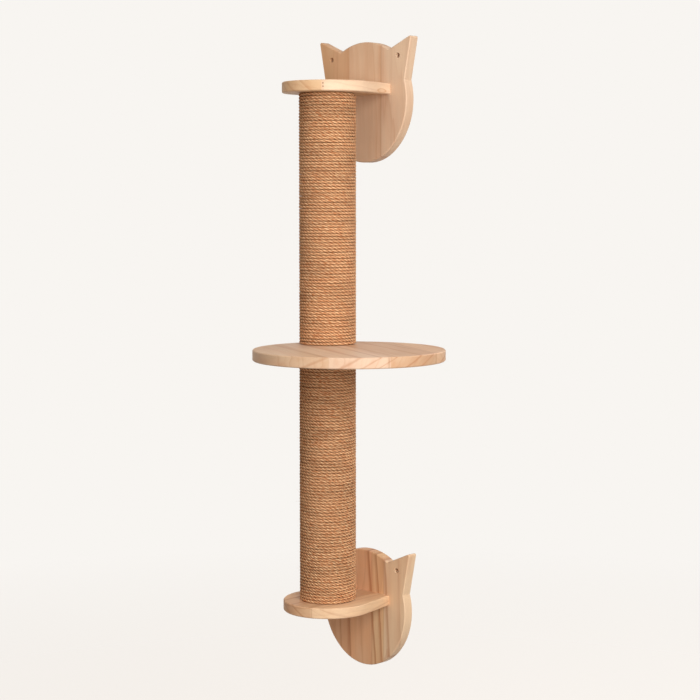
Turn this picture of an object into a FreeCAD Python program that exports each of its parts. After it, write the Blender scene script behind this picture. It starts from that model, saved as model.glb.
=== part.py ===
import FreeCAD, Part
import math
import os

# Wall mounted cat tree.  All lengths are in millimetres, angles in degrees.
#
# Frame: +Z is up, the wall is the plane y = 0 and the tree stands out towards -Y.
# The origin lies on the wall, at the centre of the four wall screw holes.
# The cat-head plates, the shelves and the posts share the plane x = 0.

V = FreeCAD.Vector
X_AXIS = V(1, 0, 0)
Y_AXIS = V(0, 1, 0)
Z_AXIS = V(0, 0, 1)

# ---- boards -------------------------------------------------------------------
board = 17.0                    # thickness of every board
edge_ease = 1.4                 # flat eased on the sanded edges that show

# ---- cat-head wall plate, heights counted from the top face of its shelf --------
ear_tip_x = 102.0
ear_tip_z = 75.5
ear_tip_round = 3.0
ear_dip_x = 53.0                # notch between an ear and the crown
ear_dip_z = 54.0
crown_z = 68.5                  # top of the arc between the ears
waist_z = 4.5                   # notch between an ear and the cheek
cheek_half_width = 92.5
cheek_centre_z = -26.0          # height of the widest place
jaw_turn = 53.13                # turn down from the widest place to where cheek and chin meet
chin_z = -125.5
wall_hole_x = 73.5              # wall screw hole in each ear
wall_hole_z = 43.5
wall_hole_d = 8.5

# ---- shelf ----------------------------------------------------------------------
post_reach = 85.0               # plate face to post axis
nose_radius = 72.5              # round nose, centred on the post axis
root_half_width = 57.0          # half width where the shelf meets the plate

# ---- round middle platform --------------------------------------------------------
platform_d = 300.0
platform_tuck = 3.55            # the rope stands this far past the rim on the post's side
platform_swing = 27.7           # swung out from the wall's direction, +X towards -Y

# ---- posts ------------------------------------------------------------------------
post_length = 400.0
tube_d = 82.0
tube_wall = 3.0
plug_length = 20.0
plug_fit = 0.1                  # clearance of a plug in its tube, on the radius
rope_d = 5.0
rope_end_gap = 0.6              # bare tube past the last turn
rope_fit = 0.05                 # rope to tube, on the radius

# ---- fasteners ----------------------------------------------------------------------
bolt_d = 8.0
bolt_hole_fit = 0.5             # bolt in the holes of shelves and platform, on the radius
bolt_head_d = 18.0
bolt_head_height = 3.4
bolt_socket = 5.0               # across the flats of the hexagon key
bolt_socket_depth = 2.4
bolt_engagement = 13.0          # length of thread inside an insert
washer_d = 22.0
washer_fit = 0.25               # bolt in its washer, on the radius
washer_height = 1.6
sink_fit = 1.0                  # washer in its recess, on the radius
sink_extra = 0.5                # head lies this far below the face of the shelf
insert_wall = 1.7
insert_length = 15.0
insert_fit = 0.05               # insert in its plug, on the radius
thread_fit = 0.05               # bolt in its insert, on the radius

# ---- screws from the back of a plate into the shelf -------------------------------------
screw_count = 2
screw_spacing = 64.0
screw_d = 4.5
screw_length = 50.0
screw_head_d = 9.0
screw_hole_fit = 0.35           # screw in the plate, on the radius
screw_sink_extra = 0.4          # head lies this far below the back of the plate
pilot_fit = 0.05                # screw in its pilot hole, on the radius

# ---- places worked out from the sizes above ----------------------------------------------
plate_face_y = -board
post_y = plate_face_y - post_reach
stack = 2 * post_length + 2 * board       # top of the upper shelf to top of the lower one
upper_shelf_top = stack / 2 - wall_hole_z
lower_shelf_top = upper_shelf_top - stack
upper_post_base = upper_shelf_top - board - post_length
platform_base = upper_post_base - board
lower_post_base = platform_base - post_length
post_r = tube_d / 2 + rope_fit + rope_d
tube_bore = tube_d - 2 * tube_wall
platform_offset = platform_d / 2 - post_r + platform_tuck   # platform centre to post axis
bolt_hole_d = bolt_d + 2 * bolt_hole_fit
washer_hole_d = bolt_d + 2 * washer_fit
insert_d = bolt_d + 2 * (thread_fit + insert_wall)
sink_d = max(washer_d, bolt_head_d) + 2 * sink_fit          # recess for washer and head
sink_depth = washer_height + bolt_head_height + sink_extra
screw_hole_d = screw_d + 2 * screw_hole_fit
screw_places = [(i - (screw_count - 1) / 2) * screw_spacing for i in range(screw_count)]


def cylinder(diameter, height, base, axis=Z_AXIS):
    """Round bar from its base point along an axis."""
    return Part.makeCylinder(diameter / 2, height, base, axis)


def revolved(profile, base):
    """Turn a closed profile of (radius, height) points about the vertical through base."""
    points = [V(radius, 0, height) for radius, height in profile]
    face = Part.Face(Part.makePolygon(points + points[:1]))
    solid = face.revolve(V(0, 0, 0), Z_AXIS, 360)
    solid.translate(base)
    return solid


def upside_down(shape, height):
    """The shape turned over about a horizontal line through the post axis at a height."""
    turned = shape.copy()
    turned.rotate(V(0, post_y, height), X_AXIS, 180)
    return turned


def edges_in_plane(shape, normal, place, tolerance=1e-4):
    """Edges of a shape that lie in the plane where normal . point = place."""
    found = []
    for edge in shape.Edges:
        low = edge.valueAt(edge.FirstParameter)
        high = edge.valueAt(edge.LastParameter)
        middle = edge.valueAt((edge.FirstParameter + edge.LastParameter) / 2)
        if all(abs(point.dot(normal) - place) < tolerance for point in (low, middle, high)):
            found.append(edge)
    return found


# ---- wall plates ------------------------------------------------------------------------------
def cat_head_outline(shelf_top):
    """Closed outline of the cat head on the wall: ears, crown, waist, cheeks and chin."""
    def at(x, z):
        return V(x, 0, shelf_top + z)

    waist_x, jaw_x, jaw_z = cheek_ends()
    crown = Part.Arc(at(ear_dip_x, ear_dip_z), at(0, crown_z), at(-ear_dip_x, ear_dip_z))
    chin = Part.Arc(at(jaw_x, jaw_z), at(0, chin_z), at(-jaw_x, jaw_z))
    edges = [crown.toShape(), chin.toShape()]
    for side in (1, -1):
        waist = at(side * waist_x, waist_z)
        tip = at(side * ear_tip_x, ear_tip_z)
        dip = at(side * ear_dip_x, ear_dip_z)
        cheek = Part.Arc(waist, at(side * cheek_half_width, cheek_centre_z), at(side * jaw_x, jaw_z))
        edges.append(cheek.toShape())
        edges.append(Part.makeLine(waist, tip))
        edges.append(Part.makeLine(tip, dip))
    return Part.Wire(Part.__sortEdges__(edges))


def cheek_ends():
    """Where a cheek's arc starts at the waist, and where it runs on into the arc of the chin."""
    drop = cheek_centre_z - chin_z
    turn = math.radians(jaw_turn)
    growth = (cheek_half_width - drop) / (math.cos(turn) + math.sin(turn) - 1)
    cheek_radius = cheek_half_width - growth * math.cos(turn)
    centre_x = cheek_half_width - cheek_radius
    waist_x = centre_x + math.sqrt(cheek_radius**2 - (waist_z - cheek_centre_z) ** 2)
    jaw_x = centre_x + cheek_radius * math.cos(turn)
    jaw_z = cheek_centre_z - cheek_radius * math.sin(turn)
    return waist_x, jaw_x, jaw_z


def ear_tip_edges(solid, shelf_top):
    """The two edges through the board at the tips of the ears."""
    found = []
    for edge in solid.Edges:
        middle = edge.CenterOfMass
        at_tip = abs(abs(middle.x) - ear_tip_x) < 1e-3
        if at_tip and abs(middle.z - shelf_top - ear_tip_z) < 1e-3:
            found.append(edge)
    return found


def wall_plate(shelf_top):
    """Cat-head board with its two wall holes and the sunk screw holes of its shelf."""
    board_solid = Part.Face(cat_head_outline(shelf_top)).extrude(V(0, -board, 0))
    board_solid = board_solid.makeFillet(ear_tip_round, ear_tip_edges(board_solid, shelf_top))
    front_edges = edges_in_plane(board_solid, Y_AXIS, plate_face_y)
    board_solid = board_solid.makeChamfer(edge_ease, front_edges)
    for side in (1, -1):
        place = V(side * wall_hole_x, 0, shelf_top + wall_hole_z)
        board_solid = board_solid.cut(cylinder(wall_hole_d, board, place, -Y_AXIS))
    for x in screw_places:
        place = V(x, 0, shelf_top - board / 2)
        board_solid = board_solid.cut(cylinder(screw_hole_d, board, place, -Y_AXIS))
        board_solid = board_solid.cut(screw_sink(place))
    return board_solid


def screw_sink(place):
    """Countersink that takes one screw head, opening at the back of the plate."""
    straight = cylinder(screw_head_d, screw_sink_extra, place, -Y_AXIS)
    cone_height = (screw_head_d - screw_d) / 2
    cone_base = place - Y_AXIS * screw_sink_extra
    cone = Part.makeCone(screw_head_d / 2, screw_d / 2, cone_height, cone_base, -Y_AXIS)
    return straight.fuse(cone)


# ---- shelves ------------------------------------------------------------------------------------
def shelf_outline(height):
    """Root against the plate, straight sides that flare out, and the round nose."""
    root = V(root_half_width, plate_face_y, height)
    reach = math.hypot(root_half_width, post_reach)
    root_turn = math.atan2(post_reach, root_half_width)
    tangent_turn = root_turn - math.acos(nose_radius / reach)
    centre = V(0, post_y, height)
    tangent_x = nose_radius * math.cos(tangent_turn)
    tangent_y = nose_radius * math.sin(tangent_turn)
    right = centre + V(tangent_x, tangent_y, 0)
    left = centre + V(-tangent_x, tangent_y, 0)
    left_root = V(-root_half_width, plate_face_y, height)
    edges = [
        Part.makeLine(root, right),
        Part.Arc(right, centre - V(0, nose_radius, 0), left).toShape(),
        Part.makeLine(left, left_root),
        Part.makeLine(left_root, root),
    ]
    return Part.Wire(edges)


def shelf(top, bolt_from_above):
    """One shelf board, with its bolt hole, the sunk bolt seat and the pilot holes."""
    base = top - board
    solid = Part.Face(shelf_outline(base)).extrude(V(0, 0, board))
    rim = []
    for height in (base, top):
        for edge in edges_in_plane(solid, Z_AXIS, height):
            if edge.CenterOfMass.y < plate_face_y - 1e-3:
                rim.append(edge)
    solid = solid.makeChamfer(edge_ease, rim)
    solid = solid.cut(cylinder(bolt_hole_d, board, V(0, post_y, base)))
    sink_base = top - sink_depth if bolt_from_above else base
    solid = solid.cut(cylinder(sink_d, sink_depth, V(0, post_y, sink_base)))
    pilot_length = screw_length - board
    for x in screw_places:
        place = V(x, plate_face_y, base + board / 2)
        solid = solid.cut(cylinder(screw_d + 2 * pilot_fit, pilot_length, place, -Y_AXIS))
    return solid


# ---- middle platform --------------------------------------------------------------------------------
def round_platform():
    """Round board, hung well off its centre on the stud between the posts."""
    swing = math.radians(platform_swing)
    centre_x = platform_offset * math.cos(swing)
    centre_y = post_y - platform_offset * math.sin(swing)
    solid = cylinder(platform_d, board, V(centre_x, centre_y, platform_base))
    rims = edges_in_plane(solid, Z_AXIS, platform_base)
    rims += edges_in_plane(solid, Z_AXIS, platform_base + board)
    solid = solid.makeChamfer(edge_ease, rims)
    return solid.cut(cylinder(bolt_hole_d, board, V(0, post_y, platform_base)))


# ---- posts --------------------------------------------------------------------------------------------
def post_tube(base):
    """Cardboard tube of one post."""
    place = V(0, post_y, base)
    outside = cylinder(tube_d, post_length, place)
    return outside.cut(cylinder(tube_bore, post_length, place))


def post_plug(end, inward):
    """Wooden disc that closes a tube end, bored for its threaded insert."""
    radius = tube_bore / 2 - plug_fit
    bore = insert_d / 2 + insert_fit
    profile = [(bore, 0), (radius, 0), (radius, plug_length), (bore, plug_length)]
    plug = revolved(profile, V(0, post_y, end))
    return plug if inward > 0 else upside_down(plug, end)


def threaded_insert(end, inward):
    """Steel insert with an inner thread, flush with the outer face of its plug."""
    bore = bolt_d / 2 + thread_fit
    radius = insert_d / 2
    profile = [(bore, 0), (radius, 0), (radius, insert_length), (bore, insert_length)]
    insert = revolved(profile, V(0, post_y, end))
    return insert if inward > 0 else upside_down(insert, end)


def rope_winding(base):
    """Outer form of the rope wound turn by turn from end to end of one post."""
    inner = tube_d / 2 + rope_fit
    length = post_length - 2 * rope_end_gap
    place = V(0, post_y, base + rope_end_gap)
    return cylinder(2 * post_r, length, place).cut(cylinder(2 * inner, length, place))


# ---- fasteners --------------------------------------------------------------------------------------------
def platform_stud():
    """Threaded rod through the platform into the plugs above and below it."""
    length = board + 2 * bolt_engagement
    base = platform_base - bolt_engagement
    return cylinder(bolt_d, length, V(0, post_y, base))


def shelf_bolt(top, bolt_from_above):
    """Low-headed furniture bolt that holds a shelf to the end of its post."""
    seat = top - sink_depth + washer_height
    shank_length = board - sink_depth + washer_height + bolt_engagement
    shank = cylinder(bolt_d, shank_length, V(0, post_y, seat - shank_length))
    head = cylinder(bolt_head_d, bolt_head_height, V(0, post_y, seat))
    bolt = head.fuse(shank).removeSplitter()
    bolt = bolt.cut(hexagon_socket(seat + bolt_head_height))
    return bolt if bolt_from_above else upside_down(bolt, top - board / 2)


def hexagon_socket(head_top):
    """Hexagon that the key goes into, sunk from the top of a bolt head."""
    corner = bolt_socket / math.sqrt(3)
    points = []
    for side in range(7):
        turn = math.radians(60 * side)
        place = V(corner * math.cos(turn), post_y + corner * math.sin(turn), head_top)
        points.append(place)
    return Part.Face(Part.makePolygon(points)).extrude(V(0, 0, -bolt_socket_depth))


def bolt_washer(top, bolt_from_above):
    """Flat washer at the bottom of the recess in a shelf."""
    place = V(0, post_y, top - sink_depth)
    washer = cylinder(washer_d, washer_height, place).cut(cylinder(washer_hole_d, washer_height, place))
    return washer if bolt_from_above else upside_down(washer, top - board / 2)


def plate_screw(x, height):
    """Countersunk wood screw from the back of a plate into the end of its shelf."""
    start = V(x, -screw_sink_extra, height)
    cone_height = (screw_head_d - screw_d) / 2
    head = Part.makeCone(screw_head_d / 2, screw_d / 2, cone_height, start, -Y_AXIS)
    shank_length = screw_length - screw_sink_extra - cone_height
    shank = cylinder(screw_d, shank_length, start - Y_AXIS * cone_height, -Y_AXIS)
    return head.fuse(shank).removeSplitter()


def plate_screws(shelf_top):
    """The row of screws behind one shelf, as separate solids."""
    height = shelf_top - board / 2
    return Part.makeCompound([plate_screw(x, height) for x in screw_places])


# ---- the whole tree --------------------------------------------------------------------------------------------
def sub_parts():
    """Every node of the tree with its shape."""
    nodes = {}
    shelves = {"upper": (upper_shelf_top, True), "lower": (lower_shelf_top, False)}
    posts = {"upper": upper_post_base, "lower": lower_post_base}
    for level, (top, from_above) in shelves.items():
        nodes[level + "_wall_plate"] = wall_plate(top)
        nodes[level + "_shelf"] = shelf(top, from_above)
        nodes[level + "_plate_screws"] = plate_screws(top)
        nodes[level + "_shelf_bolt"] = shelf_bolt(top, from_above)
        nodes[level + "_bolt_washer"] = bolt_washer(top, from_above)
    for level, base in posts.items():
        nodes[level + "_post_tube"] = post_tube(base)
        nodes[level + "_rope"] = rope_winding(base)
        ends = (base, 1), (base + post_length, -1)
        nodes[level + "_post_inserts"] = Part.makeCompound([threaded_insert(*end) for end in ends])
        for end_name, end in zip(("bottom", "top"), ends):
            nodes[level + "_post_" + end_name + "_plug"] = post_plug(*end)
    nodes["round_platform"] = round_platform()
    nodes["platform_stud"] = platform_stud()
    return nodes


def main():
    """Write one file per node."""
    os.makedirs("parts", exist_ok=True)
    for name, shape in sub_parts().items():
        shape.exportStep("parts/" + name + ".step")
        print(name, "solids", len(shape.Solids), "volume", round(shape.Volume), "valid", shape.isValid())


main()
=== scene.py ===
"""Wall mounted cat tree: pine boards, rope-wound posts and zinc plated fittings.

Every length is in metres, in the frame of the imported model: +Z is up, the wall is the plane
y = 0 and the tree stands out towards -Y. Patterns in wood and rope count in millimetres.
"""

from __future__ import annotations

import logging
import math
import random
from collections.abc import Sequence
from dataclasses import dataclass, field
from enum import Enum
from typing import ClassVar

import bmesh
import bpy
from mathutils import Matrix, Vector, noise


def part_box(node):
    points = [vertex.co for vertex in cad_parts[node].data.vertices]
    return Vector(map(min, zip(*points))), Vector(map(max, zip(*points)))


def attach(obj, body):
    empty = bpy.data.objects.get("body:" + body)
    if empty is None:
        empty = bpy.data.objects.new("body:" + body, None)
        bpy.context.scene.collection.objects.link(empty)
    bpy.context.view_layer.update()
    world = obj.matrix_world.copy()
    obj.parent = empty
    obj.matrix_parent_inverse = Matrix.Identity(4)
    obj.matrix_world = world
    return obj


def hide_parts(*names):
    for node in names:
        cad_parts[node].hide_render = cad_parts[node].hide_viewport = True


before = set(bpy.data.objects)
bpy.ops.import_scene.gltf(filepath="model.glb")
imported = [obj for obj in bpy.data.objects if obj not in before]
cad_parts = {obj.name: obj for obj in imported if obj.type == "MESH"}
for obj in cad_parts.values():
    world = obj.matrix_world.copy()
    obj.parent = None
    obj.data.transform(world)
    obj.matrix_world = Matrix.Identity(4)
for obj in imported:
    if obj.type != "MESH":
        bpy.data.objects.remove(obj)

LOG = logging.getLogger("cat_tree")
BODY = "root"
MM = 0.001

Socket = bpy.types.NodeSocket
Colour = tuple[float, float, float, float]
Triple = tuple[float, float, float]
Stops = Sequence[tuple[float, float]]


# ---- small helpers -------------------------------------------------------------------------
def tint(code: str) -> Colour:
    """Turns a colour as seen on a screen into the linear values that a shader takes.

    Args:
        code: Six hexadecimal digits, such as "c8a582".

    Returns:
        Red, green, blue and an alpha of one.
    """
    parts = [int(code[i : i + 2], 16) / 255 for i in (0, 2, 4)]
    linear = [p / 12.92 if p <= 0.04045 else ((p + 0.055) / 1.055) ** 2.4 for p in parts]
    return (linear[0], linear[1], linear[2], 1.0)


class Nodes:
    """The node tree of a material or the world, with short calls for its usual nodes."""

    def __init__(self, owner: bpy.types.Material | bpy.types.World) -> None:
        """Starts an empty tree.

        Args:
            owner: The new material or world.
        """
        self.owner = owner
        owner.use_nodes = True
        self.tree = owner.node_tree
        self.tree.nodes.clear()
        kind = "World" if isinstance(owner, bpy.types.World) else "Material"
        self.output = self.add("ShaderNodeOutput" + kind)

    def add(self, kind: str, **settings: object) -> bpy.types.Node:
        """Adds a node.

        Args:
            kind: Blender's name of the node type.
            **settings: Attributes to set on it.

        Returns:
            The new node.
        """
        node = self.tree.nodes.new(kind)
        for key, value in settings.items():
            setattr(node, key, value)
        return node

    def feed(self, socket: Socket, value: object) -> None:
        """Links another socket to an input, or writes a constant on it.

        Args:
            socket: The input.
            value: An output socket, a number or a tuple.
        """
        if isinstance(value, Socket):
            self.tree.links.new(value, socket)
        else:
            socket.default_value = value

    def shader(self, kind: str, **sockets: object) -> Socket:
        """Adds a node and fills its inputs by name.

        Args:
            kind: Blender's name of the node type.
            **sockets: Inputs, with spaces as underscores.

        Returns:
            Its first output.
        """
        node = self.add(kind)
        for key, value in sockets.items():
            self.feed(node.inputs[key.replace("_", " ")], value)
        return node.outputs[0]

    def calc(self, operation: str, *values: object) -> Socket:
        """Adds a Math node.

        Args:
            operation: Blender's name of the operation.
            *values: One to three values or sockets.

        Returns:
            Its output.
        """
        node = self.add("ShaderNodeMath", operation=operation)
        for socket, value in zip(node.inputs, values):
            self.feed(socket, value)
        return node.outputs[0]

    def vector(self, operation: str, first: Socket, second: Triple | None = None) -> bpy.types.Node:
        """Adds a Vector Math node.

        Args:
            operation: Blender's name of the operation.
            first: The vector to work on.
            second: A constant vector, if the operation takes one.

        Returns:
            The new node.
        """
        node = self.add("ShaderNodeVectorMath", operation=operation)
        self.feed(node.inputs[0], first)
        if second is not None:
            self.feed(node.inputs[1], second)
        return node

    def place(self) -> Socket:
        """Reads a point's place in the frame."""
        return self.add("ShaderNodeTexCoord").outputs["Object"]

    def from_axis(self, place: Socket, axis: tuple[float, float] = (0.0, 0.0)) -> Socket:
        """Measures how far a point lies from an upright axis.

        Args:
            place: The point.
            axis: Where the axis stands.

        Returns:
            The distance.
        """
        away = self.vector("SUBTRACT", place, (*axis, 0.0))
        flat = self.vector("MULTIPLY", away.outputs[0], (1.0, 1.0, 0.0))
        return self.vector("LENGTH", flat.outputs[0]).outputs["Value"]

    def stretched(self, vector: Socket, scale: Triple) -> Socket:
        """Scales coordinates.

        Args:
            vector: Coordinates to read.
            scale: Factor along each axis.

        Returns:
            The scaled coordinates.
        """
        node = self.add("ShaderNodeMapping", vector_type="POINT")
        self.feed(node.inputs["Vector"], vector)
        self.feed(node.inputs["Scale"], scale)
        return node.outputs[0]

    def noise(self, vector: Socket, waves: Triple, detail: float, rough: float = 0.5) -> Socket:
        """Adds a noise pattern whose waves per unit differ along each axis.

        Args:
            vector: Coordinates to read.
            waves: Waves per unit along each axis.
            detail: Number of finer layers.
            rough: Weight of the finer layers.

        Returns:
            A grey value about one half.
        """
        node = self.add("ShaderNodeTexNoise")
        self.feed(node.inputs["Vector"], self.stretched(vector, waves))
        self.feed(node.inputs["Scale"], 1.0)
        self.feed(node.inputs["Detail"], detail)
        self.feed(node.inputs["Roughness"], rough)
        return node.outputs["Fac"]

    def colour_ramp(
        self, value: Socket, stops: Sequence[tuple[float, Colour]], smooth: bool
    ) -> Socket:
        """Adds a ramp of colours.

        Args:
            value: Where on the ramp to read.
            stops: Pairs of place and linear colour.
            smooth: False for steps in place of slopes.

        Returns:
            The colour.
        """
        node = self.add("ShaderNodeValToRGB")
        band = node.color_ramp
        band.interpolation = "LINEAR" if smooth else "CONSTANT"
        while len(band.elements) < len(stops):
            band.elements.new(0.5)
        for element, (place, colour) in zip(band.elements, sorted(stops)):
            element.position = place
            element.color = colour
        self.feed(node.inputs[0], value)
        return node.outputs[0]

    def ramp(self, value: Socket, stops: Stops, smooth: bool = True) -> Socket:
        """Adds a grey ramp.

        Args:
            value: Where on the ramp to read.
            stops: Pairs of place and grey level.
            smooth: False for steps in place of slopes.

        Returns:
            The grey level.
        """
        greys = [(place, (level, level, level, 1.0)) for place, level in stops]
        return self.colour_ramp(value, greys, smooth)

    def bands(self, value: Socket, stops: Sequence[tuple[float, str]]) -> Socket:
        """Adds a ramp of plain colours that change in steps.

        Args:
            value: Where on the ramp to read.
            stops: Pairs of place and colour.

        Returns:
            The colour.
        """
        return self.colour_ramp(value, [(place, tint(code)) for place, code in stops], False)

    def blend(self, amount: object, first: object, second: object, mode: str = "MIX") -> Socket:
        """Adds a colour Mix node.

        Args:
            amount: How much of the second colour shows.
            first: First colour.
            second: Second colour.
            mode: Blender's name of the blend.

        Returns:
            The mixed colour.
        """
        node = self.add("ShaderNodeMix", data_type="RGBA", blend_type=mode)
        self.feed(node.inputs[0], amount)
        self.feed(node.inputs[6], first)
        self.feed(node.inputs[7], second)
        return node.outputs[2]

    def blend_shaders(self, amount: Socket, first: Socket, second: Socket) -> Socket:
        """Adds a Mix Shader node.

        Args:
            amount: How much of the second shader shows.
            first: First shader.
            second: Second shader.

        Returns:
            The mixed shader.
        """
        node = self.add("ShaderNodeMixShader")
        for socket, value in zip(node.inputs, (amount, first, second)):
            self.feed(socket, value)
        return node.outputs[0]

    def seen_directly(self) -> Socket:
        """Tells rays that show the background from those that only light the tree.

        Returns:
            One for a ray from the camera, in a mirror or through glass, else zero.
        """
        rays = self.add("ShaderNodeLightPath").outputs
        passed_on = self.calc("MAXIMUM", rays["Is Glossy Ray"], rays["Is Transmission Ray"])
        return self.calc("MAXIMUM", rays["Is Camera Ray"], passed_on)

    def close(self, surface: Socket) -> None:
        """Links the finished shader to the output."""
        self.feed(self.output.inputs["Surface"], surface)

    def finish(
        self, colour: Socket, roughness: Socket | float, bump: Socket, depth: float,
        **sockets: float,
    ) -> bpy.types.Material:
        """Closes the tree with one surface shader.

        Args:
            colour: Its colour.
            roughness: Its roughness.
            bump: Height of the relief.
            depth: Real depth of the relief in metres.
            **sockets: Other inputs of the shader, with spaces as underscores.

        Returns:
            The material.
        """
        relief = self.shader("ShaderNodeBump", Strength=1.0, Distance=depth, Height=bump)
        surface = self.shader(
            "ShaderNodeBsdfPrincipled",
            Base_Color=colour, Roughness=roughness, Normal=relief, **sockets,
        )
        self.close(surface)
        return self.owner


def new_nodes(name: str) -> Nodes:
    """Starts the node tree of a new material."""
    return Nodes(bpy.data.materials.new(name))


def shape_from(bm: bmesh.types.BMesh, name: str) -> bpy.types.Mesh:
    """Turns a finished bmesh into a mesh.

    Args:
        bm: The shape. It is freed.
        name: Name of the mesh.

    Returns:
        The mesh.
    """
    mesh = bpy.data.meshes.new(name)
    bm.to_mesh(mesh)
    bm.free()
    return mesh


def object_from(
    mesh: bpy.types.Mesh, name: str, material: bpy.types.Material
) -> bpy.types.Object:
    """Puts a mesh in the scene with its finish.

    Args:
        mesh: The shape, in place.
        name: Name of the object.
        material: Its finish.

    Returns:
        The new object.
    """
    mesh.materials.append(material)
    made = bpy.data.objects.new(name, mesh)
    bpy.context.scene.collection.objects.link(made)
    return made


def rope_piece(
    bm: bmesh.types.BMesh, name: str, material: bpy.types.Material
) -> bpy.types.Object:
    """Turns a finished bmesh into a smooth piece of rope that rides on the tree.

    Args:
        bm: The shape, in place. It is freed.
        name: Name of the piece.
        material: Its finish.

    Returns:
        The new object.
    """
    mesh = shape_from(bm, name)
    mesh.shade_smooth()
    piece = object_from(mesh, name, material)
    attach(piece, BODY)
    return piece


# ---- finishes ------------------------------------------------------------------------------
class Grain(Enum):
    """Which way the fibres of a board run."""

    UPRIGHT = "plates, up the wall"
    LEVEL = "shelves and platform, in the plane of the board"


@dataclass(frozen=True)
class Streak:
    """A band of late wood that runs the length of a board. Sizes are in millimetres."""

    across: float
    width: float
    strength: float

    # a streak darkens slowly to its edge and ends sharply: part of the width, and level
    profile: ClassVar[Stops] = ((-1.0, 0.0), (-0.3, 0.55), (0.2, 1.0), (0.45, 0.0))


@dataclass(frozen=True)
class Knot:
    """A pin knot, a spot of resin or an oval in the figure. Sizes are in millimetres."""

    along: float
    across: float
    through: float
    radius: float
    strength: float = 0.8
    stretch: float = 1.0
    hollow: float = 0.0
    colour: str = "7d4424"


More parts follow.
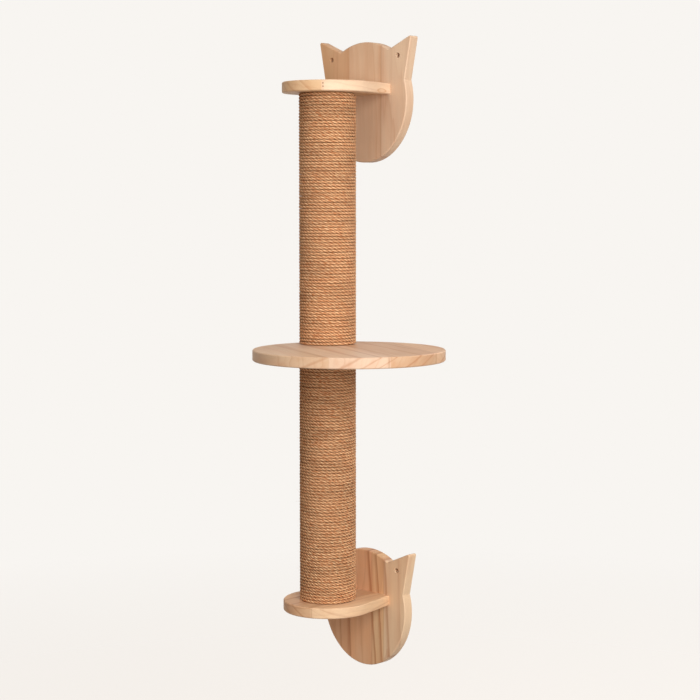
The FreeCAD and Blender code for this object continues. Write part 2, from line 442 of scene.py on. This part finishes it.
@dataclass(frozen=True)
class PineFinish:
    """Sanded, edge-glued pine: staves with their own rings, glue lines and streaks.

    Each stave after the first is a pair of its left edge and its colour. The grain is turned
    about Z, streaks lean along the board and tilt through it, about its middle.
    """

    name: str
    grain: Grain
    first: str
    staves: tuple[tuple[float, str], ...]
    streaks: tuple[Streak, ...] = ()
    knots: tuple[Knot, ...] = ()
    turn: float = 0.0
    lean: float = 0.0
    tilt: float = 0.0
    middle: float = 0.0
    figure: float = 0.5
    ring: float = 10.0
    seed: int = 0
    reach: float = 200.0
    late_wood: str = "b06f43"
    red_wood: str = "cf9268"
    pale_wood: str = "f0d3b2"
    glue: str = "a06a42"

    # growth rings: how they wander, where the pith lies, and how dark a year ends
    sway: ClassVar[float] = 36.0
    pith_spread: ClassVar[float] = 260.0
    pith_depth: ClassVar[float] = 40.0
    pith_depth_spread: ClassVar[float] = 70.0
    pith_slope: ClassVar[float] = 0.06
    uneven: ClassVar[float] = 1.1
    year: ClassVar[Stops] = (
        (0.0, 0.0), (0.5, 0.05), (0.8, 0.5), (0.93, 1.0), (0.97, 0.9), (1.0, 0.0)
    )
    years: ClassVar[Stops] = ((0.0, 0.1), (0.6, 0.45), (1.0, 1.0))

    # waves per millimetre along the fibres, across them and through the board
    sway_waves: ClassVar[Triple] = (0.005, 0.02, 0.02)
    uneven_waves: ClassVar[Triple] = (0.008, 0.07, 0.07)
    cloud_waves: ClassVar[Triple] = (0.008, 0.025, 0.025)
    patch_waves: ClassVar[Triple] = (0.004, 0.06, 0.06)
    waver_waves: ClassVar[Triple] = (0.006, 0.015, 0.015)
    fibre_waves: ClassVar[Triple] = (0.02, 1.3, 1.3)

    # how much each part shows
    waver: ClassVar[float] = 12.0
    late_shade: ClassVar[float] = 0.75
    glue_shade: ClassVar[float] = 0.4
    glue_profile: ClassVar[Stops] = ((-0.5, 0.0), (-0.15, 1.0), (0.15, 1.0), (0.5, 0.0))
    fibre_shade: ClassVar[float] = 0.8
    fibre_relief: ClassVar[float] = 0.6
    ring_relief: ClassVar[float] = 0.3
    relief_depth: ClassVar[float] = 0.05 * MM
    least_roughness: ClassVar[float] = 0.42
    roughness_spread: ClassVar[float] = 0.2

    def frame(self, nodes: Nodes) -> tuple[Socket, Socket, Socket, Socket]:
        """Finds how far a point lies along the fibres, across them and through the board.

        Args:
            nodes: The material to add to.

        Returns:
            The vector in millimetres, and its three parts.
        """
        turned = nodes.add("ShaderNodeVectorRotate", rotation_type="Z_AXIS")
        nodes.feed(turned.inputs["Vector"], nodes.place())
        nodes.feed(turned.inputs["Angle"], math.radians(self.turn))
        scaled = nodes.vector("MULTIPLY", turned.outputs[0], (1 / MM, 1 / MM, 1 / MM))
        split = nodes.add("ShaderNodeSeparateXYZ")
        nodes.feed(split.inputs[0], scaled.outputs[0])
        x, y, z = split.outputs
        along, across, through = (z, x, y) if self.grain is Grain.UPRIGHT else (x, y, z)
        joined = nodes.shader("ShaderNodeCombineXYZ", X=along, Y=across, Z=through)
        return joined, along, across, through

    def spot(self, across: float) -> float:
        """Turns a place across the board into a place from 0 to 1 on its ramps."""
        return 0.5 + 0.5 * across / self.reach

    def spot_of(self, nodes: Nodes, across: Socket) -> Socket:
        """Turns a socket with a place across the board into a place on its ramps."""
        return nodes.calc("MULTIPLY_ADD", across, 0.5 / self.reach, 0.5)

    def rings(
        self, nodes: Nodes, vector: Socket, along: Socket, across: Socket, through: Socket,
        stave: Socket,
    ) -> Socket:
        """Draws growth rings round a pith that leans a little, one pith for each stave.

        Args:
            nodes: The material to add to.
            vector: Place in the board.
            along: Distance along the fibres.
            across: Distance across them.
            through: Distance through the board.
            stave: A number that differs from stave to stave.

        Returns:
            How much late wood shows.
        """
        wave = nodes.noise(vector, self.sway_waves, 2.0)
        sway = nodes.calc("MULTIPLY_ADD", wave, self.sway, -self.sway / 2)
        pith = nodes.calc("MULTIPLY_ADD", stave, self.pith_spread, -self.pith_spread / 2)
        side = nodes.calc("ADD", nodes.calc("SUBTRACT", across, pith), sway)
        depth = nodes.calc("MULTIPLY_ADD", stave, self.pith_depth_spread, self.pith_depth)
        slope = nodes.calc("MULTIPLY", along, self.pith_slope)
        deep = nodes.calc("ADD", nodes.calc("ADD", through, slope), depth)
        side_squared = nodes.calc("MULTIPLY", side, side)
        deep_squared = nodes.calc("MULTIPLY", deep, deep)
        radius = nodes.calc("SQRT", nodes.calc("ADD", side_squared, deep_squared))
        uneven = nodes.noise(vector, self.uneven_waves, 2.0)
        rings = nodes.calc("DIVIDE", radius, self.ring)
        count = nodes.calc("MULTIPLY_ADD", uneven, self.uneven, rings)
        chance = nodes.add("ShaderNodeTexWhiteNoise", noise_dimensions="1D")
        nodes.feed(chance.inputs["W"], nodes.calc("FLOOR", count))
        late = nodes.ramp(nodes.calc("FRACT", count), self.year)
        return nodes.calc("MULTIPLY", late, nodes.ramp(chance.outputs["Value"], self.years))

    def knot_mark(self, nodes: Nodes, vector: Socket, knot: Knot) -> Socket:
        """Marks one knot, full or as an oval line.

        Args:
            nodes: The material to add to.
            vector: Place in the board.
            knot: The knot.

        Returns:
            How dark it is.
        """
        away = nodes.vector("SUBTRACT", vector, (knot.along, knot.across, knot.through))
        squashed = nodes.vector("MULTIPLY", away.outputs[0], (1 / knot.stretch, 1.0, 1.0))
        reach = nodes.vector("LENGTH", squashed.outputs[0]).outputs["Value"]
        part = nodes.calc("DIVIDE", reach, 2 * knot.radius)
        core = knot.strength * (1 - knot.hollow)
        return nodes.ramp(part, [(0.0, core), (0.3, core), (0.42, knot.strength), (0.6, 0.0)])

    def streak_mark(
        self, nodes: Nodes, vector: Socket, along: Socket, across: Socket, through: Socket
    ) -> Socket:
        """Marks all the streaks of the board.

        Args:
            nodes: The material to add to.
            vector: Place in the board.
            along: Distance along the fibres.
            across: Distance across them.
            through: Distance through the board.

        Returns:
            How much of them shows.
        """
        wave = nodes.noise(vector, self.waver_waves, 3.0)
        waver = nodes.calc("MULTIPLY_ADD", wave, self.waver, -self.waver / 2)
        height = nodes.calc("SUBTRACT", through, self.middle)
        tilted = nodes.calc("MULTIPLY_ADD", height, self.tilt, waver)
        leaned = nodes.calc("MULTIPLY_ADD", along, self.lean, across)
        line = self.spot_of(nodes, nodes.calc("ADD", leaned, tilted))
        stops = [(0.0, 0.0)]
        for streak in self.streaks:
            for part, level in streak.profile:
                place = streak.across + part * streak.width
                stops.append((self.spot(place), level * streak.strength))
        return nodes.ramp(line, stops)

    def glue_mark(self, nodes: Nodes, where: Socket) -> Socket:
        """Marks the glue lines between the staves.

        Args:
            nodes: The material to add to.
            where: Place on the board's ramps.

        Returns:
            How much of them shows.
        """
        stops = [(0.0, 0.0)]
        for edge, _ in self.staves:
            for offset, level in self.glue_profile:
                stops.append((self.spot(edge + offset), level))
        return nodes.calc("MULTIPLY", nodes.ramp(where, stops), self.glue_shade)

    def material(self) -> bpy.types.Material:
        """Builds the finish.

        Returns:
            The material.
        """
        nodes = new_nodes(self.name)
        vector, along, across, through = self.frame(nodes)
        where = self.spot_of(nodes, across)
        dice = random.Random(self.seed)
        edges = [0.0] + [self.spot(edge) for edge, _ in self.staves]
        colours = [self.first] + [colour for _, colour in self.staves]
        stave = nodes.ramp(where, [(edge, dice.random()) for edge in edges], smooth=False)
        base = nodes.bands(where, list(zip(edges, colours)))

        # slow clouds of colour, and redder patches along the fibres
        cloud = nodes.ramp(nodes.noise(vector, self.cloud_waves, 3.0), [(0.42, 0.0), (0.72, 0.35)])
        base = nodes.blend(cloud, base, tint(self.pale_wood))
        patch = nodes.ramp(nodes.noise(vector, self.patch_waves, 3.0), [(0.45, 0.0), (0.72, 0.75)])
        base = nodes.blend(nodes.calc("MULTIPLY", patch, self.figure), base, tint(self.red_wood))

        # growth rings, and the bands of late wood that stand out
        late = self.rings(nodes, vector, along, across, through, stave)
        amount = nodes.calc("MULTIPLY", late, self.late_shade * self.figure)
        base = nodes.blend(amount, base, tint(self.late_wood))
        band = self.streak_mark(nodes, vector, along, across, through)
        base = nodes.blend(band, base, tint(self.late_wood))

        # glue lines, knots and fine fibres
        base = nodes.blend(self.glue_mark(nodes, where), base, tint(self.glue))
        for knot in self.knots:
            base = nodes.blend(self.knot_mark(nodes, vector, knot), base, tint(knot.colour))
        fibre = nodes.noise(vector, self.fibre_waves, 5.0, 0.6)
        shade = nodes.ramp(fibre, [(0.3, 0.88), (0.7, 1.0)])
        base = nodes.blend(self.fibre_shade, base, shade, "MULTIPLY")
        raised = nodes.calc("MULTIPLY", late, self.ring_relief)
        height = nodes.calc("MULTIPLY_ADD", fibre, self.fibre_relief, raised)
        rough = nodes.calc("MULTIPLY_ADD", fibre, self.roughness_spread, self.least_roughness)
        return nodes.finish(base, rough, height, self.relief_depth, Specular_IOR_Level=0.35)


@dataclass(frozen=True)
class JuteFinish:
    """Twisted jute: hairy golden strands, with painted shade in the grooves and between turns."""

    name: str
    length: float
    girth: float
    axis: tuple[float, float]
    radius: float
    strands: int = 3
    strand: str = "eab07a"
    light: str = "ffe0b4"
    patch: str = "c27440"
    # colour of the painted shade in the grooves between strands and in the valleys between turns
    deep: str = "84431f"

    # painted shade across each strand: darkest at its edges, where the grooves lie, none on its
    # crown
    groove: ClassVar[Stops] = (
        (0.0, 1.0), (0.1, 0.7), (0.24, 0.0), (0.76, 0.0), (0.9, 0.7), (1.0, 1.0)
    )
    groove_shade: ClassVar[float] = 0.8
    # painted shade between turns: how dark a point is painted by how far it lies below the crest
    valley: ClassVar[Stops] = ((0.12, 0.0), (0.35, 0.3), (0.75, 1.0))
    valley_depth: ClassVar[float] = 2.5 * MM
    valley_shade: ClassVar[float] = 0.3
    band_shade: ClassVar[float] = 0.75
    relief_depth: ClassVar[float] = 0.25 * MM

    # waves per millimetre along the rope and round it, and per metre in the frame
    yarn_waves: ClassVar[Triple] = (0.7, 3.4, 1.0)
    fluff_waves: ClassVar[Triple] = (0.16, 0.5, 1.0)
    band_waves: ClassVar[Triple] = (16.0, 16.0, 70.0)

    def depth(self, nodes: Nodes, place: Socket) -> Socket:
        """Finds how deep a point lies between two turns.

        Args:
            nodes: The material to add to.
            place: Object coordinates.

        Returns:
            One at the bottom of the valley and zero on the crest of a turn.
        """
        sunk = nodes.calc("SUBTRACT", self.radius, nodes.from_axis(place, self.axis))
        return nodes.ramp(nodes.calc("DIVIDE", sunk, self.valley_depth), self.valley)

    def material(self) -> bpy.types.Material:
        """Builds the finish.

        Returns:
            The material.
        """
        nodes = new_nodes(self.name)
        laid = nodes.add("ShaderNodeUVMap", uv_map="lay").outputs[0]
        vector = nodes.stretched(laid, (self.length / MM, self.girth / MM, 1.0))
        split = nodes.add("ShaderNodeSeparateXYZ")
        nodes.feed(split.inputs[0], laid)
        # painted shade in the grooves between strands, by the place round each strand
        lobe = nodes.calc("FRACT", nodes.calc("MULTIPLY", split.outputs[1], float(self.strands)))
        groove = nodes.calc("MULTIPLY", nodes.ramp(lobe, self.groove), self.groove_shade)
        place = nodes.place()
        # painted shade in the valleys between turns, by the distance from the post's axis
        valley = nodes.calc("MULTIPLY", self.depth(nodes, place), self.valley_shade)
        yarn = nodes.noise(vector, self.yarn_waves, 3.0, 0.65)
        fluff = nodes.noise(vector, self.fluff_waves, 2.0)
        band = nodes.noise(place, self.band_waves, 3.0)
        fibres = nodes.ramp(yarn, [(0.34, 0.0), (0.68, 1.0)])
        base = nodes.blend(fibres, tint(self.strand), tint(self.light))
        base = nodes.blend(nodes.ramp(fluff, [(0.36, 0.8), (0.6, 0.0)]), base, tint(self.patch))
        # painted shade: darken the grooves between strands towards the deep colour
        base = nodes.blend(groove, base, tint(self.deep))
        # painted shade: darken the valleys between turns towards the deep colour
        base = nodes.blend(valley, base, tint(self.deep))
        shade = nodes.ramp(band, [(0.3, 0.75), (0.6, 1.0)])
        base = nodes.blend(self.band_shade, base, shade, "MULTIPLY")
        return nodes.finish(
            base, 0.85, yarn, self.relief_depth,
            Specular_IOR_Level=0.1, Sheen_Weight=0.04, Sheen_Roughness=0.5,
        )


@dataclass(frozen=True)
class PlainFinish:
    """A finish of one colour with fine specks, scratches and its own gloss."""

    name: str
    colour: str
    dark: str
    roughness: float
    metal: float = 0.0
    speck: float = 900.0

    cloud: ClassVar[float] = 60.0
    gloss_spread: ClassVar[float] = 0.2
    relief_depth: ClassVar[float] = 0.03 * MM

    def material(self) -> bpy.types.Material:
        """Builds the finish.

        Returns:
            The material.
        """
        nodes = new_nodes(self.name)
        place = nodes.place()
        fine = nodes.noise(place, (self.speck, self.speck, self.speck), 4.0)
        wide = nodes.noise(place, (self.cloud, self.cloud, self.cloud), 2.0)
        mixed = nodes.calc("MULTIPLY_ADD", wide, 0.5, nodes.calc("MULTIPLY", fine, 0.5))
        amount = nodes.ramp(mixed, [(0.35, 0.0), (0.65, 1.0)])
        base = nodes.blend(amount, tint(self.dark), tint(self.colour))
        least = self.roughness - self.gloss_spread / 2
        rough = nodes.calc("MULTIPLY_ADD", fine, self.gloss_spread, least)
        return nodes.finish(base, rough, fine, self.relief_depth, Metallic=self.metal)


# ---- boards, fittings and inner pieces -----------------------------------------------------
@dataclass
class Boards:
    """The five boards: two cat-head plates, two shelves and the round platform."""

    upper_plate: PineFinish = PineFinish(
        "pine_upper_plate", Grain.UPRIGHT, "c99d75",
        staves=((-68.0, "d0a680"), (-34.0, "d5b191"), (37.5, "d9ba9d")),
        streaks=(
            Streak(-60.0, 3.0, 0.25), Streak(-36.0, 5.0, 0.25), Streak(35.0, 6.0, 0.18),
            Streak(60.0, 5.0, 0.12),
        ),
        figure=0.3, seed=3, ring=14.0,
    )
    lower_plate: PineFinish = PineFinish(
        "pine_lower_plate", Grain.UPRIGHT, "dfaa80",
        staves=((-31.0, "e8b184"), (19.0, "e8bb8a"), (45.0, "eccba6")),
        streaks=(
            Streak(-95.7, 4.0, 0.5), Streak(-75.8, 6.0, 0.6), Streak(-50.0, 5.0, 0.15),
            Streak(-20.0, 4.5, 0.85), Streak(-4.0, 5.5, 0.7), Streak(13.5, 6.5, 0.6),
        ),
        lean=0.08, figure=0.45, seed=8, ring=16.0, late_wood="a85f34",
    )
    upper_shelf: PineFinish = PineFinish(
        "pine_upper_shelf", Grain.LEVEL, "efd0b0",
        staves=((-45.0, "dfb88c"), (45.0, "eccaa6")),
        streaks=(Streak(-20.0, 5.0, 0.4), Streak(12.0, 6.0, 0.35), Streak(30.0, 4.0, 0.3)),
        knots=(
            Knot(-158.7, -45.6, 368.0, 1.2), Knot(-158.5, -45.6, 363.0, 1.1),
            Knot(-41.0, -62.0, 360.5, 3.4, 0.6, stretch=6.0, hollow=0.8, colour="c98b4e"),
        ),
        turn=-90.0, tilt=-1.2, middle=365.0, figure=0.3, seed=5, ring=9.0,
    )
    lower_shelf: PineFinish = PineFinish(
        "pine_lower_shelf", Grain.LEVEL, "f0caa1",
        staves=((-28.0, "dcb087"), (44.0, "e8c096")),
        streaks=(
            Streak(-55.0, 5.0, 0.35), Streak(-38.0, 4.0, 0.15), Streak(-2.0, 5.0, 0.6),
            Streak(-14.0, 6.0, 0.1), Streak(28.0, 5.0, 0.6),
        ),
        turn=-90.0, tilt=-1.8, middle=-469.0, figure=0.5, seed=12, ring=9.0,
    )
    platform: PineFinish = PineFinish(
        "pine_platform", Grain.LEVEL, "d6b493",
        staves=((-166.0, "dfbfa3"), (-76.5, "cca481"), (13.5, "d9b18c")),
        streaks=(
            Streak(-196.0, 6.0, 0.5), Streak(-150.0, 7.0, 0.6), Streak(-118.0, 5.0, 0.5),
            Streak(-92.0, 4.0, 0.8), Streak(-48.0, 4.0, 1.0), Streak(-20.0, 5.0, 0.5),
            Streak(28.0, 5.0, 0.9),
        ),
        knots=(Knot(235.0, -202.0, -46.0, 2.2, 0.5),),
        turn=28.0, lean=-0.05, tilt=-1.8, middle=-52.0, figure=0.4, seed=21, reach=350.0,
        ring=8.0,
    )

    def dress(self) -> None:
        """Gives every board its wood."""
        finishes = {
            "upper_wall_plate": self.upper_plate,
            "lower_wall_plate": self.lower_plate,
            "upper_shelf": self.upper_shelf,
            "lower_shelf": self.lower_shelf,
            "round_platform": self.platform,
        }
        for node, finish in finishes.items():
            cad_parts[node].material_slots[0].material = finish.material()
            LOG.info("%s has %s", node, finish.name)


@dataclass
class Fittings:
    """Bolts, washers, screws, inserts and the wooden and card pieces inside the posts."""

    zinc: PlainFinish = PlainFinish("zinc_plate", "c9cbce", "a9adb2", 0.35, metal=1.0)
    yellow_zinc: PlainFinish = PlainFinish("yellow_zinc", "cbb98a", "a8966b", 0.38, metal=1.0)
    card: PlainFinish = PlainFinish("kraft_card", "8a6744", "75552f", 0.9)
    plug: PlainFinish = PlainFinish("plug_wood", "cfae84", "b8936a", 0.7, speck=300.0)

    def dress(self) -> None:
        """Gives every node that isn't a board or a rope its finish, by its last word."""
        finishes = {
            ("bolt", "washer", "stud", "screws"): self.zinc,
            ("inserts",): self.yellow_zinc,
            ("tube",): self.card,
            ("plug",): self.plug,
        }
        for words, finish in finishes.items():
            material = finish.material()
            for node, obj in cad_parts.items():
                if node.rsplit("_", 1)[-1] in words:
                    obj.material_slots[0].material = material
                    LOG.info("%s has %s", node, finish.name)


# ---- rope ----------------------------------------------------------------------------------
@dataclass
class Post:
    """The place of one rope-wound post, measured on its CAD sleeve."""

    node: str
    axis: Vector = field(init=False)
    radius: float = field(init=False)
    low: float = field(init=False)
    high: float = field(init=False)

    def __post_init__(self) -> None:
        """Reads the sleeve's box."""
        low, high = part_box(self.node)
        self.axis = Vector(((low.x + high.x) / 2, (low.y + high.y) / 2, 0.0))
        self.radius = (high.x - low.x) / 2
        self.low = low.z
        self.high = high.z


@dataclass
class RopeWinding:
    """Three-strand rope wound in touching turns round one post.

    The turns lie level and climb over the last part of each, at the wall side.
    """

    post: Post
    seed: int
    rope_d: float = 5.0 * MM
    wanted_pitch: float = 4.92 * MM
    lay: float = 22.0 * MM
    rings_per_lay: int = 15
    lobe: tuple[float, ...] = (0.68, 0.9, 1.0, 1.0, 0.9)
    strands: int = 3
    first_angle: float = math.radians(80.0)
    climb: float = 0.16
    pieces: int = 3

    # slack in the lay and in the strands: waves per metre, and what they shift
    loose_waves: float = 11.0
    loose_rise: float = 0.4 * MM
    loose_twist: float = 3.0
    uneven_waves: float = 29.0
    uneven_reach: float = 0.3 * MM
    uneven_twist: float = 1.6

    radius: float = field(init=False)
    bottom: float = field(init=False)
    pitch: float = field(init=False)
    turns: float = field(init=False)
    turn_length: float = field(init=False)

    def __post_init__(self) -> None:
        """Fits whole turns between the ends of the post."""
        self.radius = self.post.radius - self.rope_d / 2
        self.bottom = self.post.low + self.rope_d / 2
        rise = self.post.high - self.post.low - self.rope_d
        whole = round(rise / self.wanted_pitch)
        self.pitch = rise / whole
        self.turns = whole + (1 - self.climb)
        self.turn_length = math.hypot(2 * math.pi * self.radius, self.pitch)

    def build(self) -> None:
        """Makes the rope in a few lengths that follow one another."""
        node = self.post.node
        share = self.turns * self.turn_length / self.pieces
        axis = (self.post.axis.x, self.post.axis.y)
        finish = JuteFinish(
            node + "_jute", share, math.pi * self.rope_d, axis, self.post.radius, self.strands
        ).material()
        for part in range(self.pieces):
            bm = self.length_of_rope(part * share, share)
            piece = rope_piece(bm, f"{node}_length_{part + 1}", finish)
            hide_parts(node)
            LOG.info("%s has %d faces", piece.name, len(piece.data.polygons))

    def length_of_rope(self, start: float, length: float) -> bmesh.types.BMesh:
        """Rolls a flat grid up into a twisted length of rope on the post.

        Args:
            start: Where on the rope the length starts, in metres.
            length: How much rope it holds.

        Returns:
            The shape.
        """
        around = self.strands * len(self.lobe)
        rings = round(length / self.lay * self.rings_per_lay)
        bm = bmesh.new()
        bm.loops.layers.uv.new("lay")
        bmesh.ops.create_grid(bm, x_segments=rings, y_segments=around, size=1.0, calc_uvs=True)
        sections: dict[int, tuple[Vector, Vector, Vector, float]] = {}
        for vert in bm.verts:
            ring = round((vert.co.x + 1) / 2 * rings)
            point = round((vert.co.y + 1) / 2 * around) % around
            if ring not in sections:
                sections[ring] = self.section(start + length * ring / rings)
            centre, out, side, twist = sections[ring]
            angle = twist + 2 * math.pi * point / around
            reach = self.rope_d / 2 * self.lobe[point % len(self.lobe)]
            vert.co = centre + out * (reach * math.cos(angle)) + side * (reach * math.sin(angle))
        bmesh.ops.remove_doubles(bm, verts=bm.verts, dist=0.01 * MM)
        ends = [edge for edge in bm.edges if edge.is_boundary]
        bmesh.ops.holes_fill(bm, edges=ends, sides=0)
        bmesh.ops.recalc_face_normals(bm, faces=bm.faces)
        return bm

    def section(self, place: float) -> tuple[Vector, Vector, Vector, float]:
        """Finds the section of the rope at a place along it.

        Args:
            place: Length of rope up to there.

        Returns:
            Its centre, the direction away from the post, the direction across it, and its twist.
        """
        turn = place / self.turn_length
        angle = self.first_angle + 2 * math.pi * turn
        out = Vector((math.cos(angle), math.sin(angle), 0.0))
        slope = self.pitch / (2 * math.pi * self.radius)
        ahead = Vector((-math.sin(angle), math.cos(angle), slope)).normalized()
        side = ahead.cross(out)
        loose = noise.noise(Vector((place * self.loose_waves, self.seed, 0.0)))
        uneven = noise.noise(Vector((place * self.uneven_waves, self.seed + 9.0, 0.0)))
        centre = self.post.axis + out * (self.radius + self.uneven_reach * (uneven - 0.5))
        whole = math.floor(turn)
        part = min(max((turn - whole - 1 + self.climb) / self.climb, 0.0), 1.0)
        level = whole + part * part * (3 - 2 * part)
        centre.z = self.bottom + self.pitch * level + self.loose_rise * loose
        lay = 2 * math.pi * place / self.lay
        twist = lay + self.uneven_twist * uneven + self.loose_twist * loose
        return centre, out, side, twist


@dataclass
class Whiskers:
    """Loose fibres that stand off the rope."""

    post: Post
    seed: int
    count: int = 260
    thickness: float = 0.11 * MM
    shortest: float = 2.0 * MM
    longest: float = 9.0 * MM
    root: float = 0.5 * MM
    end_gap: float = 3.0 * MM
    curl: float = 1.4
    lean: tuple[float, float] = (35.0, 85.0)
    joints: int = 4
    taper: float = 0.8

    def build(self, finish: bpy.types.Material) -> None:
        """Scatters the fibres over the outside of one winding.

        Args:
            finish: Material of the fibres.
        """
        dice = random.Random(self.seed)
        single = self.one_fibre()
        bm = bmesh.new()
        for _ in range(self.count):
            first = len(bm.verts)
            bm.from_mesh(single)
            bm.verts.ensure_lookup_table()
            fibre = bm.verts[first:]
            length = self.shortest + (self.longest - self.shortest) * dice.random() ** 2
            curl = dice.uniform(-self.curl, self.curl)
            for vert in fibre:
                part = vert.co.z
                vert.co.x += curl * length * part * part * 0.5
                vert.co.z = part * length
            bmesh.ops.transform(bm, matrix=self.stand(dice), verts=fibre)
        bpy.data.meshes.remove(single)
        piece = rope_piece(bm, self.post.node + "_whiskers", finish)
        LOG.info("%s has %d fibres", piece.name, self.count)

    def stand(self, dice: random.Random) -> Matrix:
        """Picks a place on the winding for one fibre and the way that it leans.

        Args:
            dice: Source of the random draws.

        Returns:
            The fibre's transform.
        """
        angle = dice.uniform(0, 2 * math.pi)
        height = dice.uniform(self.post.low + self.end_gap, self.post.high - self.end_gap)
        lean = Matrix.Rotation(math.radians(dice.uniform(*self.lean)), 4, "Y")
        roll = Matrix.Rotation(dice.uniform(0, 2 * math.pi), 4, "X")
        reach = self.post.radius - self.root
        foot = self.post.axis + Vector((math.cos(angle) * reach, math.sin(angle) * reach, height))
        return Matrix.Translation(foot) @ Matrix.Rotation(angle, 4, "Z") @ roll @ lean

    def one_fibre(self) -> bpy.types.Mesh:
        """Makes one straight fibre of unit length with a fine tip.

        Returns:
            The mesh.
        """
        bm = bmesh.new()
        made = bmesh.ops.create_circle(bm, cap_ends=True, segments=3, radius=self.thickness / 2)
        tip = made["verts"]
        for joint in range(self.joints):
            faces = [face for face in bm.faces if all(vert in tip for vert in face.verts)]
            grown = bmesh.ops.extrude_face_region(bm, geom=faces)
            bmesh.ops.delete(bm, geom=faces if joint else [], context="FACES_ONLY")
            tip = [item for item in grown["geom"] if isinstance(item, bmesh.types.BMVert)]
            bmesh.ops.translate(bm, vec=(0.0, 0.0, 1 / self.joints), verts=tip)
            bmesh.ops.scale(bm, vec=(self.taper, self.taper, 1.0), verts=tip)
        bmesh.ops.recalc_face_normals(bm, faces=bm.faces)
        return shape_from(bm, "fibre")


# ---- studio --------------------------------------------------------------------------------
@dataclass(frozen=True)
class Lamp:
    """A square soft light that faces the tree. Its power is in watts."""

    name: str
    place: Triple
    size: float
    power: float

    target: ClassVar[Triple] = (0.0, -0.1, 0.0)

    def build(self) -> None:
        """Hangs the lamp."""
        data = bpy.data.lights.new(self.name, "AREA")
        data.size = self.size
        data.energy = self.power
        light = bpy.data.objects.new(self.name, data)
        light.location = self.place
        aim = Vector(self.target) - Vector(self.place)
        light.rotation_euler = aim.to_track_quat("-Z", "Y").to_euler()
        bpy.context.scene.collection.objects.link(light)


@dataclass
class Studio:
    """Camera, soft lights, pale floor and background."""

    eye: Triple = (1.968, -2.113, 0.191)
    swing: float = 43.65
    dip: float = 4.97
    lens: float = 90.14
    sensor: float = 36.0
    clip: tuple[float, float] = (0.05, 60.0)
    lamps: tuple[Lamp, ...] = (
        Lamp("key", (1.85, -1.05, 0.45), 1.2, 43.0),
        Lamp("top", (0.8, -1.5, 2.3), 1.4, 19.0),
        Lamp("back", (0.2, 2.3, 1.3), 1.4, 20.0),
    )
    room_light: str = "ffe7d2"
    room_level: float = 0.29
    backdrop: str = "f8f5f1"
    floor_height: float = -0.95
    floor_reach: float = 5.0
    floor_sides: int = 64
    floor_fade: tuple[float, float] = (0.12, 0.55)
    floor_cloth: str = "9a9896"
    floor_colour: str = "f6f2ed"
    floor_glow: float = 0.78

    def camera(self) -> None:
        """Places the camera where the photograph was taken from."""
        data = bpy.data.cameras.new("camera")
        data.lens = self.lens
        data.sensor_width = self.sensor
        data.clip_start, data.clip_end = self.clip
        eye = bpy.data.objects.new("camera", data)
        eye.location = self.eye
        eye.rotation_euler = (math.radians(90 - self.dip), 0.0, math.radians(self.swing))
        bpy.context.scene.collection.objects.link(eye)
        bpy.context.scene.camera = eye

    def background(self) -> None:
        """Shows a pale background to the camera and a plain even light to the tree."""
        world = bpy.data.worlds.new("studio")
        bpy.context.scene.world = world
        nodes = Nodes(world)
        light = nodes.shader(
            "ShaderNodeBackground", Color=tint(self.room_light), Strength=self.room_level
        )
        seen = nodes.shader("ShaderNodeBackground", Color=tint(self.backdrop))
        nodes.close(nodes.blend_shaders(nodes.seen_directly(), light, seen))

    def floor_finish(self) -> bpy.types.Material:
        """Builds a pale cloth that fades into the background away from the tree.

        Returns:
            The material.
        """
        nodes = new_nodes("floor")
        distance = nodes.calc("DIVIDE", nodes.from_axis(nodes.place()), self.floor_reach)
        start, end = self.floor_fade
        fade = nodes.ramp(distance, [(start, 0.0), (end, 1.0)])
        cloth = nodes.shader("ShaderNodeBsdfDiffuse", Color=tint(self.floor_cloth))
        level = nodes.calc("MULTIPLY", nodes.seen_directly(), self.floor_glow)
        glow = nodes.shader("ShaderNodeEmission", Color=tint(self.floor_colour), Strength=level)
        lit = nodes.add("ShaderNodeAddShader")
        nodes.feed(lit.inputs[0], cloth)
        nodes.feed(lit.inputs[1], glow)
        clear = nodes.shader("ShaderNodeBsdfTransparent")
        nodes.close(nodes.blend_shaders(fade, lit.outputs[0], clear))
        return nodes.owner

    def floor(self) -> None:
        """Lays the round floor."""
        bm = bmesh.new()
        bmesh.ops.create_circle(
            bm, cap_ends=True, segments=self.floor_sides, radius=self.floor_reach
        )
        bmesh.ops.translate(bm, vec=(0.0, 0.0, self.floor_height), verts=bm.verts)
        ground = object_from(shape_from(bm, "floor"), "floor", self.floor_finish())

    def build(self) -> None:
        """Sets up the whole studio."""
        bpy.context.scene.view_settings.view_transform = "Standard"
        self.camera()
        for lamp in self.lamps:
            lamp.build()
        self.background()
        self.floor()


def main() -> None:
    """Dresses the boards and fittings, winds the ropes and sets up the studio."""
    logging.basicConfig(level=logging.INFO, format="%(message)s")
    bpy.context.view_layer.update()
    Boards().dress()
    Fittings().dress()
    hair = PlainFinish("jute_hair", "dcb184", "b98a5c", 0.8).material()
    for seed, node in enumerate(("upper_rope", "lower_rope")):
        post = Post(node)
        RopeWinding(post, seed=seed).build()
        Whiskers(post, seed=31 + seed).build(hair)
    Studio().build()


if __name__ == "__main__":
    main()
